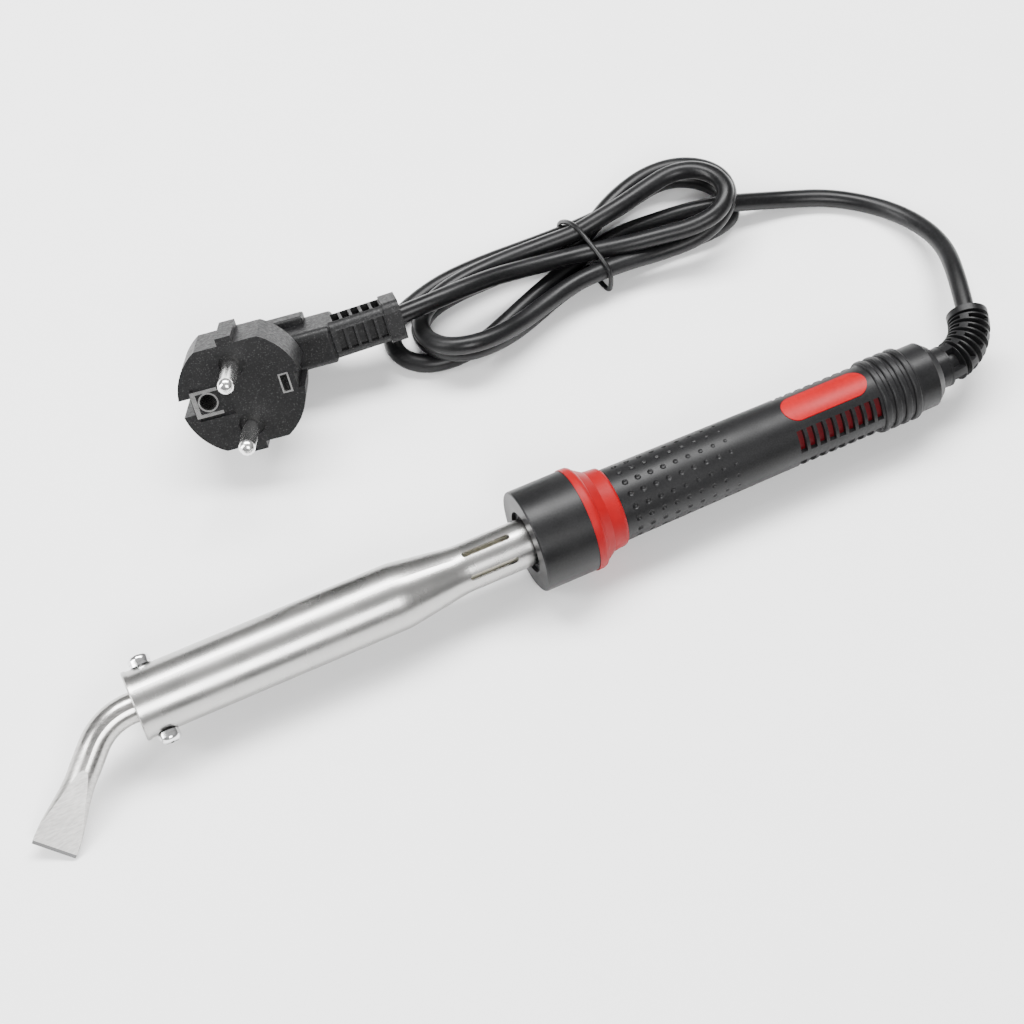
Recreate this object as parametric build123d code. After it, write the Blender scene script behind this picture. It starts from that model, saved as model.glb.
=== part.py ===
from build123d import *
import math
import os

# Mains soldering iron with a bent chisel tip, in millimetres. While it is being modelled, X runs
# rearward along the iron's axis from the front collar's front face and Z is up from the bench, on
# which the collar lies. At the end everything is moved to the iron's own origin on the bench.

# Fits
SLIP_FIT = 0.05          # radial gap between pieces that are pushed together
RUN_FIT = 0.08           # radial gap of a screw in its thread, or of the tip in its bush
BODY_GAP = 0.3           # gap between pieces of different bodies that face each other

# Heater barrel, a drawn tube that narrows to a vented neck
BARREL_OD = 19.2
BARREL_WALL = 0.8
BARREL_REACH = 115.3     # its mouth stands this far in front of the collar
TAPER_START = 38.7       # in front of the collar
TAPER_END = 20.7
TAPER_ROUNDING = 24.0
NECK_OD = 13.9
NECK_SLOTS = 6
NECK_SLOT_LENGTH = 14.6
NECK_SLOT_WIDTH = 1.7
NECK_SLOT_MIDDLE = 12.1  # in front of the collar
NECK_SLOT_TURN = 33.4    # degrees round the axis from the near side, of the first slot

# Nose bush, which closes the barrel's mouth and holds the tip
BUSH_RIM_PROUD = 0.3
BUSH_RIM_THICKNESS = 1.3
BUSH_LENGTH = 12.0

# Clamp screws
SCREW_INSET = 4.6        # behind the barrel's mouth
SCREW_DIA = 3.0
SCREW_PITCH = 0.5
SCREW_HEAD_DIA = 6.1
SCREW_HEAD_HEIGHT = 2.3
SCREW_HEAD_DOME = 0.7    # of its height, the rounding of its edge
SCREW_RECESS_WIDTH = 0.9
SCREW_RECESS_SPAN = 3.4
SCREW_RECESS_DEPTH = 1.3
SCREW_TURNS = (163.0, -17.0)
WASHER_OD = 6.0
WASHER_THICKNESS = 0.8
WASHER_SPLIT = 0.7

# Tip, a bent copper rod with a flared chisel end
ROD_DIA = 8.6
ROD_INSIDE = 66.0        # behind the nose bush's face
ROD_LEAD = 1.0           # straight before the bend
BEND_RADIUS = 17.3
BEND_ANGLE = 47.0
TIP_TURN = -28.5         # degrees round the axis, the side that the tip bends to
SHANK_LENGTH = 6.5       # straight and round after the bend
CHISEL_LENGTH = 22.8
CHISEL_WIDTH = 12.2
CHISEL_DEPTH = 7.6       # of the flared rod, before its two flats are ground
CHISEL_EDGE = 0.9
CHISEL_SWELL = (0.3, 0.7)  # of the rod's two half sizes where the flare begins
CHISEL_SWELL_SHARE = 0.45
CHISEL_WIDE_SHARE = 0.8
CHISEL_END_TRIM = 0.2

# Heater inside the barrel
CORE_WALL = 0.9
CORE_LENGTH = 57.0
CORE_LINING = 0.5        # mica under the winding
WIRE_DIA = 0.8
WINDING_PITCH = 4.0
WINDING_TURNS = 11
WRAP_THICKNESS = 0.5     # mica over the winding
CERAMIC_LENGTH = 5.0
CERAMIC_GAP = 0.6
LEAD_DIA = 1.0
SLEEVE_WALL = 0.4
SLEEVE_STANDOFF = 1.5    # the sleeves start this far behind the ceramic

# Handle front
COLLAR_OD = 30.0
COLLAR_LENGTH = 16.0
COLLAR_EDGE = 0.6
COLLAR_FACE_RING_OD = 18.2
COLLAR_FACE_RING_DEPTH = 1.2
COLLAR_BORE_GAP = 0.5
SPIGOT_OD = 24.6
SPIGOT_LENGTH = 3.4
PLATE_OD = 24.0
PLATE_THICKNESS = 1.4
PLATE_HUB_OD = 17.4
PLATE_HUB_LENGTH = 3.0
PLATE_SCREWS = 3
PLATE_SCREW_PCD = 20.6
PLATE_SCREW_DIA = 2.2
PLATE_SCREW_LENGTH = 8.0
PLATE_SCREW_HEAD_DIA = 3.0
PLATE_SCREW_HEAD_HEIGHT = 1.2

# Handle core, red, with its flared ring
LIP_OD = 30.5
LIP_WIDTH = 2.6
LIP_ROUNDING = 1.0
LIP_SLOPE_RUN = 0.6      # behind the lip, where its rounding meets the ring's slope
WAIST_OD = 24.8
WAIST_X = 22.2
WAIST_DROP = 0.2
WAIST_SLOPE = 0.05
FLARE_END_OD = 23.6
FLARE_END_X = 27.0
FLARE_END_ROUND = 1.2
STEM_OD = 17.6
STEM_BORE = 14.8
STEM_END_X = 121.0

# Grip, the black sleeve over the core
GRIP_FRONT_OD = 21.6
GRIP_REAR_OD = 20.6
GRIP_TAPER_X = 78.0
GRIP_END_X = 123.2
VENT_PANELS = (39.4, -20.6, 159.4, 219.4)
VENT_COUNT = 9
VENT_PITCH = 3.14
VENT_WIDTH = 2.1
VENT_FIRST_X = 82.5
VENT_SPAN = 39.0         # degrees
RIB_FIRST_X = 111.5
RIB_PITCH = 3.3
RIB_COUNT = 4
RIB_OD = 22.1
RIB_WIDTH = 2.2
RIB_ROUNDING = 0.7
LABEL_TURN = 97.4
LABEL_MIDDLE_X = 95.0
LABEL_LENGTH = 27.0
LABEL_WIDTH = 8.8
LABEL_THICKNESS = 0.9
LABEL_PROUD = 0.25

# Rear cap
CAP_OD = 19.8
CAP_SHOULDER_X = 129.2
CAP_FACE_X = 131.7
CAP_FACE_OD = 15.8
CAP_NECK_OD = 12.2
CAP_END_X = 135.6
CAP_PLUG_LENGTH = 9.0
TONGUE_LENGTH = 12.0
TONGUE_TOP = 0.6         # below the axis

# Cord and strain relief
CORD_DIA = 5.6
RELIEF_OD = 12.4
RELIEF_ROOT_OD = 9.0
RELIEF_ROOT_LENGTH = 8.0
RELIEF_RADIUS = 16.5
RELIEF_ANGLE = 70.0
RELIEF_TAIL = 2.0
RELIEF_GROOVES = 5
RELIEF_GROOVE_WIDTH = 1.5
RELIEF_GROOVE_DEPTH = 1.6
CLAMP_BAR = (6.0, 12.6, 2.6)
CLAMP_ARCH_WALL = 1.0
CLAMP_SCREW_DIA = 2.2
CLAMP_SCREW_SPACING = 9.4
CLAMP_SCREW_HEAD_DIA = 2.6
CLAMP_SCREW_HEAD_HEIGHT = 0.7

# Terminal block and wires
BLOCK = (18.0, 11.4, 7.6)
BLOCK_X = 46.0
BLOCK_WAYS = 3
BLOCK_PITCH = 3.5
BLOCK_BORE = 2.4
BLOCK_SCREW_DIA = 1.8
BLOCK_SCREW_HEIGHT = 2.0
BLOCK_SCREW_INSET = 4.0
WIRE_REACH = 5.0         # wires stand this far inside the block
CORE_WIRE_DIA = 2.0
CORE_WIRE_LAY = 1.25     # of each core's centre from the cord's centre
CORE_WIRE_STRAIGHT = 4.0
CORE_WIRE_BEND = 6.0

# Plug, angled, with two round pins, side earth clips and an earth hole
PIN_DIA = 4.8
PIN_LENGTH = 19.0
PIN_SPACING = 19.0
PIN_ROOT = 6.0
PIN_ROOT_DIA = 4.0       # of its shank inside the moulding
PIN_RECESS_DIA = 7.4     # sunk ring round its base
PIN_RECESS_DEPTH = 0.6
PIN_DOME = 0.45          # of its diameter, the rounding of its end
PLUG_FACE_DIA = 36.3
PLUG_RIM_DEPTH = 14.5
PLUG_FLAT = 15.6         # half the distance across the face's top and bottom flats
LUG_WIDTH = 4.6
LUG_PROUD = 2.2
LUG_DEPTH = 14.0
SIDE_NOTCHES = (3.6, 2.0)  # how deep they are, on the left and on the right of the rim
SIDE_NOTCH_WIDTH = 5.2
EARTH_HOLE_DIA = 4.9
EARTH_HOLE_DEPTH = 17.0
EARTH_HOLE_OFFSET = 10.0
EARTH_SOCKET_WALL = 0.5
EARTH_BRACKET = (8.0, 8.2)   # its length along the cord and its width
EARTH_BRACKET_WALL = 1.0
EARTH_BRACKET_WEB = 1.4
EARTH_BRACKET_EDGE = 14.4    # its far side from the face's middle
EARTH_RECESS = (10.6, 10.2)
EARTH_RECESS_MIDDLE = 8.6    # from the face's middle
EARTH_RECESS_DEPTH = 1.0
CLIP_FRAME = (3.0, 6.0)
CLIP_FRAME_WALL = 0.5
CLIP_FRAME_MIDDLE = 13.0
CLIP_DEPTH = 8.0
CARRIER = (8.0, 26.0, 5.0)
CARRIER_DEPTH = 3.0      # behind the face
HEEL_TOP_DIA = 30.6      # of the tapering back, where it leaves the rim
HEEL_MIDDLE_DIA = 24.0
HEEL_MIDDLE_DEPTH = 26.0
HEEL_END_DIA = 14.4
ARM_FRONT = 20.3         # depths behind the face
ARM_BACK = 37.2
ARM_END = 26.4           # from the face's middle along the cord
ARM_WIDTH = 11.6
ARM_ROUNDING = 2.2
RIB = (6.0, 18.4)        # where the raised rib on the arm's side starts and ends
RIB_FRONT = 29.5
RIB_PROUD = 2.4
BOOT_DEPTH = 28.4        # of the boot's middle behind the face, at the arm
BOOT_TILT = 10.5         # degrees, away from the face
BOOT_LENGTH = 20.3
BOOT_OVERLAP = 2.0       # inside the arm
BOOT_WIDTH = 11.4
BOOT_ROUNDING = 2.8
BOOT_COLLAR = 4.8
BOOT_COLLAR_WIDTH = 12.6
BOOT_SLOTS = 5
BOOT_SLOT_WIDTH = 2.2
BOOT_SLOT_DEPTH = 2.2
BOOT_SPINE = 2.4
PLUG_PLACE = (-55.1, 71.7)
PLUG_PIN_DIRECTION = (-0.319, -0.743, 0.589)
PLUG_CORD_DIRECTION = (0.948, -0.256, 0.191)

# Cord's route from the strain relief to the hank, after the exit point
FREE_ROUTE = [
    (156.7, 26.0, 15.0),
    (161.9, 41.0, 10.2),
    (160.8, 55.0, 5.6),
    (154.4, 66.6, 3.0),
    (142.6, 76.0, 2.8),
    (129.0, 80.8, 3.6),
    (115.5, 83.4, 6.8),
]
# Cord's route from the hank up to the plug's boot, before the boot's end point
PLUG_ROUTE = [
    (50.0, 86.4, 10.6),
    (40.0, 86.7, 12.2),
    (30.0, 86.2, 14.6),
    (19.8, 84.6, 17.2),
    (9.5, 83.3, 18.6),
]
CORNER_SHARE = 0.45      # of the shorter run, used by the rounding of each corner

# Hank, the folded length of cord, and its tie
HANK_OUTLINE = [
    (-6.8, 82.0), (-1.0, 72.6), (11.0, 65.2), (24.0, 65.0), (36.0, 68.6), (50.0, 73.4), (66.0, 74.9),
    (82.0, 74.3), (97.0, 72.6), (108.0, 76.0), (116.4, 87.0), (113.6, 98.5), (104.5, 105.6), (92.0, 106.4),
    (76.0, 102.6), (60.0, 100.9), (42.0, 102.0), (20.0, 101.6), (4.0, 97.4),
]
HANK_TOP = [             # its height along X
    (-12.0, 6.0), (0.0, 10.5), (6.0, 15.5), (14.0, 17.0), (24.0, 15.6), (33.0, 13.2), (50.0, 13.0),
    (66.0, 13.6), (74.0, 16.4), (86.0, 18.6), (98.0, 20.0), (104.0, 21.6), (112.0, 22.4), (124.0, 20.0),
]
TIE_PLACE = (62.5, 87.9)
TIE_TURN = 8.2
TIE_DIA = 1.5
TIE_WIDTH = 26.0
TIE_TOP = 14.6
TIE_ROUNDING = 2.0
TIE_GROUND_GAP = 0.1

# Values that follow from the ones above
AXIS_HEIGHT = max(COLLAR_OD, LIP_OD) / 2
MOUTH_X = -BARREL_REACH
BUSH_FACE_X = MOUTH_X - BUSH_RIM_THICKNESS
BARREL_ID = BARREL_OD - 2 * BARREL_WALL
SPIGOT_X = COLLAR_LENGTH - SPIGOT_LENGTH
PLATE_X = SPIGOT_X - PLATE_THICKNESS
CORE_ID = ROD_DIA + 2 * BODY_GAP
CORE_OD = CORE_ID + 2 * CORE_WALL
CORE_START_X = MOUTH_X + BUSH_LENGTH
CORE_END_X = CORE_START_X + CORE_LENGTH
LINING_OD = CORE_OD + 2 * CORE_LINING
WINDING_RADIUS = LINING_OD / 2 + SLIP_FIT + WIRE_DIA / 2
WRAP_ID = 2 * WINDING_RADIUS + WIRE_DIA + 2 * SLIP_FIT
CERAMIC_START_X = CORE_END_X + CERAMIC_GAP
CERAMIC_END_X = CERAMIC_START_X + CERAMIC_LENGTH
SLEEVE_OD = LEAD_DIA + 2 * SLIP_FIT + 2 * SLEEVE_WALL
BLOCK_END_X = BLOCK_X + BLOCK[0]
RELIEF_BORE = CORD_DIA + 2 * SLIP_FIT
TONGUE_X = STEM_END_X - CAP_PLUG_LENGTH - TONGUE_LENGTH
TAIL_START_X = TONGUE_X - 2.0


def tube(outer, inner, start, end):
    """A straight tube round the iron's axis; inner is 0 for a solid bar."""
    length = end - start
    profile = Circle(outer / 2)
    if inner:
        profile -= Circle(inner / 2)
    return Plane((start, 0, AXIS_HEIGHT), x_dir=(0, 1, 0), z_dir=(1, 0, 0)) * extrude(profile, length)


def turned(outline):
    """A solid turned about the iron's axis from an outline on the XZ plane."""
    return Pos(0, 0, AXIS_HEIGHT) * revolve(make_face(outline), Axis.X)


def spoke(x, turn, radius=0.0):
    """A plane on the iron's axis that looks outward, turn degrees from the near side."""
    out = (0, -math.cos(math.radians(turn)), math.sin(math.radians(turn)))
    origin = (x, radius * out[1], AXIS_HEIGHT + radius * out[2])
    return Plane(origin, x_dir=(1, 0, 0), z_dir=out)


def lying_bar(dia, start, end, across=0.0, up=0.0):
    """A straight round bar along X, off the iron's axis by across and up."""
    return Pos(0, across, up) * tube(dia, 0, start, end)


def barrel_outline(offset):
    """The barrel's wavy line at offset inside its outer surface, from mouth to neck end."""
    points = [
        (MOUTH_X, 0, BARREL_OD / 2 - offset),
        (-TAPER_START, 0, BARREL_OD / 2 - offset),
        (-TAPER_END, 0, NECK_OD / 2 - offset),
        (PLATE_X + PLATE_HUB_LENGTH + PLATE_THICKNESS, 0, NECK_OD / 2 - offset),
    ]
    return FilletPolyline(*points, radius=TAPER_ROUNDING)


def barrel():
    outer = barrel_outline(0)
    inner = barrel_outline(BARREL_WALL)
    body = turned([outer, inner, Line(outer @ 0, inner @ 0), Line(outer @ 1, inner @ 1)])
    for i in range(NECK_SLOTS):
        slot = extrude(SlotOverall(NECK_SLOT_LENGTH, NECK_SLOT_WIDTH), NECK_OD)
        body -= spoke(-NECK_SLOT_MIDDLE, NECK_SLOT_TURN + 360 / NECK_SLOTS * i) * slot
    for turn in SCREW_TURNS:
        hole = Cylinder(SCREW_DIA / 2 + RUN_FIT, BARREL_OD, align=(Align.CENTER, Align.CENTER, Align.MIN))
        body -= spoke(MOUTH_X + SCREW_INSET, turn) * hole
    return body


def nose_bush():
    bore = ROD_DIA + 2 * RUN_FIT
    rim = tube(BARREL_OD + 2 * BUSH_RIM_PROUD, bore, BUSH_FACE_X, MOUTH_X)
    spigot = tube(BARREL_ID - 2 * SLIP_FIT, bore, MOUTH_X, CORE_START_X)
    body = rim + spigot
    body = chamfer(body.edges().group_by(Axis.X)[0], BUSH_RIM_PROUD)
    for turn in SCREW_TURNS:
        hole = Cylinder(SCREW_DIA / 2 + RUN_FIT, BARREL_OD, align=(Align.CENTER, Align.CENTER, Align.MIN))
        body -= spoke(MOUTH_X + SCREW_INSET, turn) * hole
    return body


def clamp_screw(turn):
    """Pan-head screw with a cross recess, clear of the rod by the gap between bodies."""
    seat = BARREL_OD / 2 + WASHER_THICKNESS + 2 * SLIP_FIT
    inner_end = ROD_DIA / 2 + BODY_GAP
    up = (Align.CENTER, Align.CENTER, Align.MIN)
    shank = Pos(0, 0, inner_end) * Cylinder(SCREW_DIA / 2, seat - inner_end, align=up)
    head = Pos(0, 0, seat) * Cylinder(SCREW_HEAD_DIA / 2, SCREW_HEAD_HEIGHT, align=up)
    head = fillet(head.edges().group_by(Axis.Z)[-1], SCREW_HEAD_HEIGHT * SCREW_HEAD_DOME)
    floor_z = seat + SCREW_HEAD_HEIGHT - SCREW_RECESS_DEPTH
    arm = Pos(0, 0, floor_z) * Box(SCREW_RECESS_SPAN, SCREW_RECESS_WIDTH, SCREW_HEAD_HEIGHT, align=up)
    screw = shank + head - arm - Rot(0, 0, 90) * arm
    return spoke(MOUTH_X + SCREW_INSET, turn) * screw


def spring_washer(turn):
    """Split ring under a screw head, standing on the barrel's highest line."""
    ring = Circle(WASHER_OD / 2) - Circle(SCREW_DIA / 2 + RUN_FIT)
    ring -= Pos(WASHER_OD / 4, 0) * Rectangle(WASHER_OD / 2, WASHER_SPLIT)
    return spoke(MOUTH_X + SCREW_INSET, turn, BARREL_OD / 2 + SLIP_FIT) * extrude(ring, WASHER_THICKNESS)


def tip():
    side = math.radians(TIP_TURN)
    bend = Plane((BUSH_FACE_X, 0, AXIS_HEIGHT), x_dir=(-1, 0, 0), z_dir=(0, math.sin(side), math.cos(side)))
    lead = Line((-ROD_INSIDE, 0), (ROD_LEAD, 0))
    curve = JernArc(lead @ 1, lead % 1, BEND_RADIUS, BEND_ANGLE)
    shank_end = curve @ 1 + (curve % 1) * SHANK_LENGTH
    shank = Line(curve @ 1, shank_end)
    rod = sweep(Plane(lead @ 0, z_dir=lead % 0) * Circle(ROD_DIA / 2), lead + curve + shank)
    along = Plane(shank_end, x_dir=(0, 0, 1), z_dir=curve % 1)
    sections = [
        along * Circle(ROD_DIA / 2),
        along.offset(CHISEL_LENGTH * CHISEL_SWELL_SHARE) * Ellipse(
            CHISEL_DEPTH / 2 + CHISEL_SWELL[0], ROD_DIA / 2 + CHISEL_SWELL[1]
        ),
        along.offset(CHISEL_LENGTH * CHISEL_WIDE_SHARE) * Ellipse(CHISEL_DEPTH / 2, CHISEL_WIDTH / 2),
        along.offset(CHISEL_LENGTH) * Ellipse(CHISEL_DEPTH / 2 - CHISEL_END_TRIM, CHISEL_WIDTH / 2),
    ]
    flared = loft(sections)
    half_edge = CHISEL_EDGE / 2
    wedge = Polyline(
        (ROD_DIA / 2, 0), (half_edge, CHISEL_LENGTH), (-half_edge, CHISEL_LENGTH), (-ROD_DIA / 2, 0), close=True
    )
    across = Plane(shank_end, x_dir=(0, 0, 1), z_dir=Vector(0, 0, 1).cross(curve % 1))
    block = extrude(across * make_face(wedge), CHISEL_WIDTH, both=True)
    return bend * (rod + (flared & block))


def winding():
    path = Helix(WINDING_PITCH, WINDING_PITCH * WINDING_TURNS, WINDING_RADIUS)
    section = Plane(path @ 0, z_dir=path % 0) * Circle(WIRE_DIA / 2)
    coil = sweep(section, path, is_frenet=True)
    start = (CORE_START_X + CORE_END_X - WINDING_PITCH * WINDING_TURNS) / 2
    return Plane((start, 0, AXIS_HEIGHT), x_dir=(0, 1, 0), z_dir=(1, 0, 0)) * coil


def lead_places():
    """Across the iron, where the two heater leads lie."""
    return [-BLOCK_PITCH, BLOCK_PITCH]


def ceramic_bush():
    body = tube(BARREL_ID - 2 * BODY_GAP, 0, CERAMIC_START_X, CERAMIC_END_X)
    for across in lead_places():
        body -= lying_bar(LEAD_DIA + 2 * SLIP_FIT, CERAMIC_START_X, CERAMIC_END_X, across)
    return body


def heater_leads():
    end = BLOCK_X + WIRE_REACH
    return Compound([lying_bar(LEAD_DIA, CERAMIC_START_X, end, across) for across in lead_places()])


def lead_sleeves():
    sleeves = []
    for across in lead_places():
        bare = tube(SLEEVE_OD, LEAD_DIA + 2 * SLIP_FIT, CERAMIC_END_X + SLEEVE_STANDOFF, BLOCK_X - SLEEVE_STANDOFF)
        sleeves.append(Pos(0, across, 0) * bare)
    return Compound(sleeves)


def earth_lead():
    """From the mounting plate's hub to the block's middle way."""
    hub_end = PLATE_X + PLATE_HUB_LENGTH + PLATE_THICKNESS
    return lying_bar(CORE_WIRE_DIA, hub_end + SLIP_FIT, BLOCK_X + WIRE_REACH)


def mounting_plate():
    """Steel disc and hub pushed over the neck, screwed to the handle core's front."""
    bore = NECK_OD + 2 * SLIP_FIT
    disc = tube(PLATE_OD, bore, PLATE_X, SPIGOT_X)
    hub = tube(PLATE_HUB_OD, bore, SPIGOT_X, SPIGOT_X + PLATE_HUB_LENGTH)
    plate = disc + hub
    for turn in range(0, 360, 360 // PLATE_SCREWS):
        plate -= plate_screw_bar(turn, PLATE_SCREW_DIA + 2 * SLIP_FIT, PLATE_X, SPIGOT_X)
    return plate


def plate_screw_bar(turn, dia, start, end):
    out = math.radians(turn)
    across = -PLATE_SCREW_PCD / 2 * math.cos(out)
    up = PLATE_SCREW_PCD / 2 * math.sin(out)
    return lying_bar(dia, start, end, across, up)


def plate_screws():
    screws = []
    for turn in range(0, 360, 360 // PLATE_SCREWS):
        shank = plate_screw_bar(turn, PLATE_SCREW_DIA, PLATE_X, PLATE_X + PLATE_SCREW_LENGTH)
        head = plate_screw_bar(turn, PLATE_SCREW_HEAD_DIA, PLATE_X - PLATE_SCREW_HEAD_HEIGHT, PLATE_X)
        screws.append(shank + head)
    return Compound(screws)


def front_collar():
    """Fat hand guard; its rear cavity takes the mounting plate and the core's spigot."""
    bore = NECK_OD + 2 * COLLAR_BORE_GAP
    body = tube(COLLAR_OD, bore, 0, COLLAR_LENGTH)
    body = fillet(body.edges().group_by(Axis.X)[0].sort_by(SortBy.LENGTH)[-1:], COLLAR_EDGE)
    body -= tube(COLLAR_FACE_RING_OD, 0, 0, COLLAR_FACE_RING_DEPTH)
    cavity_start = PLATE_X - PLATE_SCREW_HEAD_HEIGHT - BODY_GAP
    body -= tube(SPIGOT_OD + 2 * SLIP_FIT, 0, cavity_start, COLLAR_LENGTH)
    return body


def handle_core():
    """Red moulding: front spigot, flared ring and the stem that runs back inside the grip."""
    spigot = SPIGOT_OD / 2
    lip_end = COLLAR_LENGTH + LIP_WIDTH
    front = Polyline(
        (SPIGOT_X, 0, STEM_BORE / 2), (SPIGOT_X, 0, spigot), (COLLAR_LENGTH, 0, spigot),
        (COLLAR_LENGTH, 0, LIP_OD / 2), (lip_end - LIP_ROUNDING, 0, LIP_OD / 2)
    )
    shoulder = TangentArc(front @ 1, (lip_end + LIP_SLOPE_RUN, 0, LIP_OD / 2 - LIP_ROUNDING), tangent=(1, 0, 0))
    flare = TangentArc((FLARE_END_X - FLARE_END_ROUND, 0, FLARE_END_OD / 2),
                       (WAIST_X, 0, WAIST_OD / 2 - WAIST_DROP), tangent=(-1, 0, WAIST_SLOPE))
    slope = Line(shoulder @ 1, flare @ 1)
    edge = TangentArc(flare @ 0, (FLARE_END_X, 0, FLARE_END_OD / 2 - FLARE_END_ROUND), tangent=(1, 0, 0))
    rear = Polyline(
        edge @ 1, (FLARE_END_X, 0, STEM_OD / 2), (STEM_END_X, 0, STEM_OD / 2),
        (STEM_END_X, 0, STEM_BORE / 2), (SPIGOT_X, 0, STEM_BORE / 2)
    )
    body = turned([front, shoulder, slope, flare, edge, rear])
    body -= tube(PLATE_HUB_OD + 2 * SLIP_FIT, 0, SPIGOT_X, SPIGOT_X + PLATE_HUB_LENGTH + BODY_GAP)
    for turn in range(0, 360, 360 // PLATE_SCREWS):
        body -= plate_screw_bar(turn, PLATE_SCREW_DIA + 2 * SLIP_FIT, SPIGOT_X, PLATE_X + PLATE_SCREW_LENGTH)
    return body


def grip():
    """Black sleeve with vent windows over the core and ring ribs at its rear."""
    half_bore = STEM_OD / 2 + SLIP_FIT
    outline = Polyline(
        (FLARE_END_X, 0, half_bore), (FLARE_END_X, 0, GRIP_FRONT_OD / 2), (GRIP_TAPER_X, 0, GRIP_REAR_OD / 2),
        (GRIP_END_X, 0, GRIP_REAR_OD / 2), (GRIP_END_X, 0, half_bore), close=True
    )
    body = turned(outline)
    for i in range(RIB_COUNT):
        middle = RIB_FIRST_X + RIB_PITCH * i
        rib = tube(RIB_OD, 2 * half_bore, middle - RIB_WIDTH / 2, middle + RIB_WIDTH / 2)
        body += fillet(rib.edges().filter_by(lambda e: e.length > GRIP_REAR_OD * math.pi), RIB_ROUNDING)
    for turn in VENT_PANELS:
        for i in range(VENT_COUNT):
            body -= vent_window(turn, VENT_FIRST_X + VENT_PITCH * i)
    return body - label_plate(0)


def vent_window(turn, start):
    """A sector that cuts one window through the grip's wall."""
    half = math.radians(VENT_SPAN / 2)
    reach = GRIP_FRONT_OD
    sector = Polyline((0, 0), (reach, -reach * math.tan(half)), (reach, reach * math.tan(half)), close=True)
    face = make_face(sector) - Circle(STEM_OD / 2 - SLIP_FIT)
    out = math.radians(turn)
    x_dir = (0, -math.cos(out), math.sin(out))
    return extrude(Plane((start, 0, AXIS_HEIGHT), x_dir=x_dir, z_dir=(1, 0, 0)) * face, VENT_WIDTH)


def label_plate(gap):
    """Plain oval badge, bent round the grip and let into it."""
    outer = GRIP_REAR_OD / 2 + LABEL_PROUD
    shell = tube(2 * outer, 2 * (outer - LABEL_THICKNESS), LABEL_MIDDLE_X - LABEL_LENGTH, LABEL_MIDDLE_X + LABEL_LENGTH)
    oval = extrude(SlotOverall(LABEL_LENGTH - 2 * gap, LABEL_WIDTH - 2 * gap), GRIP_REAR_OD)
    return shell & (spoke(LABEL_MIDDLE_X, LABEL_TURN) * oval)


def rear_cap():
    """End cap with a plug that fits the core's bore and a tongue for the cord clamp."""
    outline = Polyline(
        (GRIP_END_X, 0, RELIEF_ROOT_OD / 2), (GRIP_END_X, 0, CAP_OD / 2), (CAP_SHOULDER_X, 0, CAP_OD / 2),
        (CAP_FACE_X, 0, CAP_FACE_OD / 2), (CAP_FACE_X, 0, CAP_NECK_OD / 2),
        (CAP_END_X, 0, CAP_NECK_OD / 2), (CAP_END_X, 0, RELIEF_ROOT_OD / 2), close=True
    )
    plug_dia = STEM_BORE - 2 * SLIP_FIT
    head = turned(outline)
    spigot = tube(STEM_BORE - 2 * SLIP_FIT, RELIEF_BORE, STEM_END_X - CAP_PLUG_LENGTH, CAP_END_X - RELIEF_ROOT_LENGTH)
    tongue = tube(plug_dia, 0, TONGUE_X, STEM_END_X - CAP_PLUG_LENGTH)
    tongue -= Pos(TONGUE_X, 0, AXIS_HEIGHT - TONGUE_TOP) * Box(
        2 * TONGUE_LENGTH, STEM_OD, STEM_OD, align=(Align.CENTER, Align.CENTER, Align.MIN)
    )
    tongue -= tube(RELIEF_BORE, 0, TONGUE_X, STEM_END_X)
    body = head + spigot + tongue - tube(RELIEF_ROOT_OD + 2 * SLIP_FIT, 0, CAP_END_X - RELIEF_ROOT_LENGTH, CAP_END_X)
    return body - clamp_screw_bars(CLAMP_SCREW_DIA + 2 * SLIP_FIT, -STEM_OD / 2, CLAMP_BAR[2])


def clamp_screw_bars(dia, bottom, top):
    """Two upright bars at the clamp's screw places, between two heights from the axis."""
    middle = TONGUE_X + TONGUE_LENGTH / 2
    bars = None
    for side in (-1, 1):
        bar = Cylinder(dia / 2, top - bottom, align=(Align.CENTER, Align.CENTER, Align.MIN))
        place = Pos(middle, side * CLAMP_SCREW_SPACING / 2, AXIS_HEIGHT + bottom)
        bars = place * bar if bars is None else bars + place * bar
    return bars


def clamp_bar():
    """Saddle over the cord, a flat bar with an arch in its middle."""
    middle = TONGUE_X + TONGUE_LENGTH / 2
    arch_dia = RELIEF_BORE + 2 * CLAMP_ARCH_WALL
    upper_half = Pos(middle, 0, AXIS_HEIGHT + SLIP_FIT) * Box(
        CLAMP_BAR[0], STEM_OD, STEM_OD, align=(Align.CENTER, Align.CENTER, Align.MIN)
    )
    bar = Pos(middle, 0, AXIS_HEIGHT + SLIP_FIT) * Box(*CLAMP_BAR, align=(Align.CENTER, Align.CENTER, Align.MIN))
    bar += upper_half & tube(arch_dia, 0, TONGUE_X, STEM_END_X)
    bar &= tube(STEM_BORE - 2 * SLIP_FIT, 0, TONGUE_X, STEM_END_X)
    bar -= tube(RELIEF_BORE, 0, TONGUE_X, STEM_END_X)
    return bar - clamp_screw_bars(CLAMP_SCREW_DIA + 2 * SLIP_FIT, -1, CLAMP_BAR[2] + 1)


def clamp_screws():
    top = CLAMP_BAR[2] + SLIP_FIT
    shanks = clamp_screw_bars(CLAMP_SCREW_DIA, -STEM_BORE / 4, top)
    return shanks + clamp_screw_bars(CLAMP_SCREW_HEAD_DIA, top, top + CLAMP_SCREW_HEAD_HEIGHT)


def relief_line():
    """Centre line of the bent strain relief, from the cap's end."""
    arc = JernArc((CAP_END_X, 0, AXIS_HEIGHT), (1, 0, 0), RELIEF_RADIUS, RELIEF_ANGLE)
    return arc, Line(arc @ 1, arc @ 1 + (arc % 1) * RELIEF_TAIL)


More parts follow.
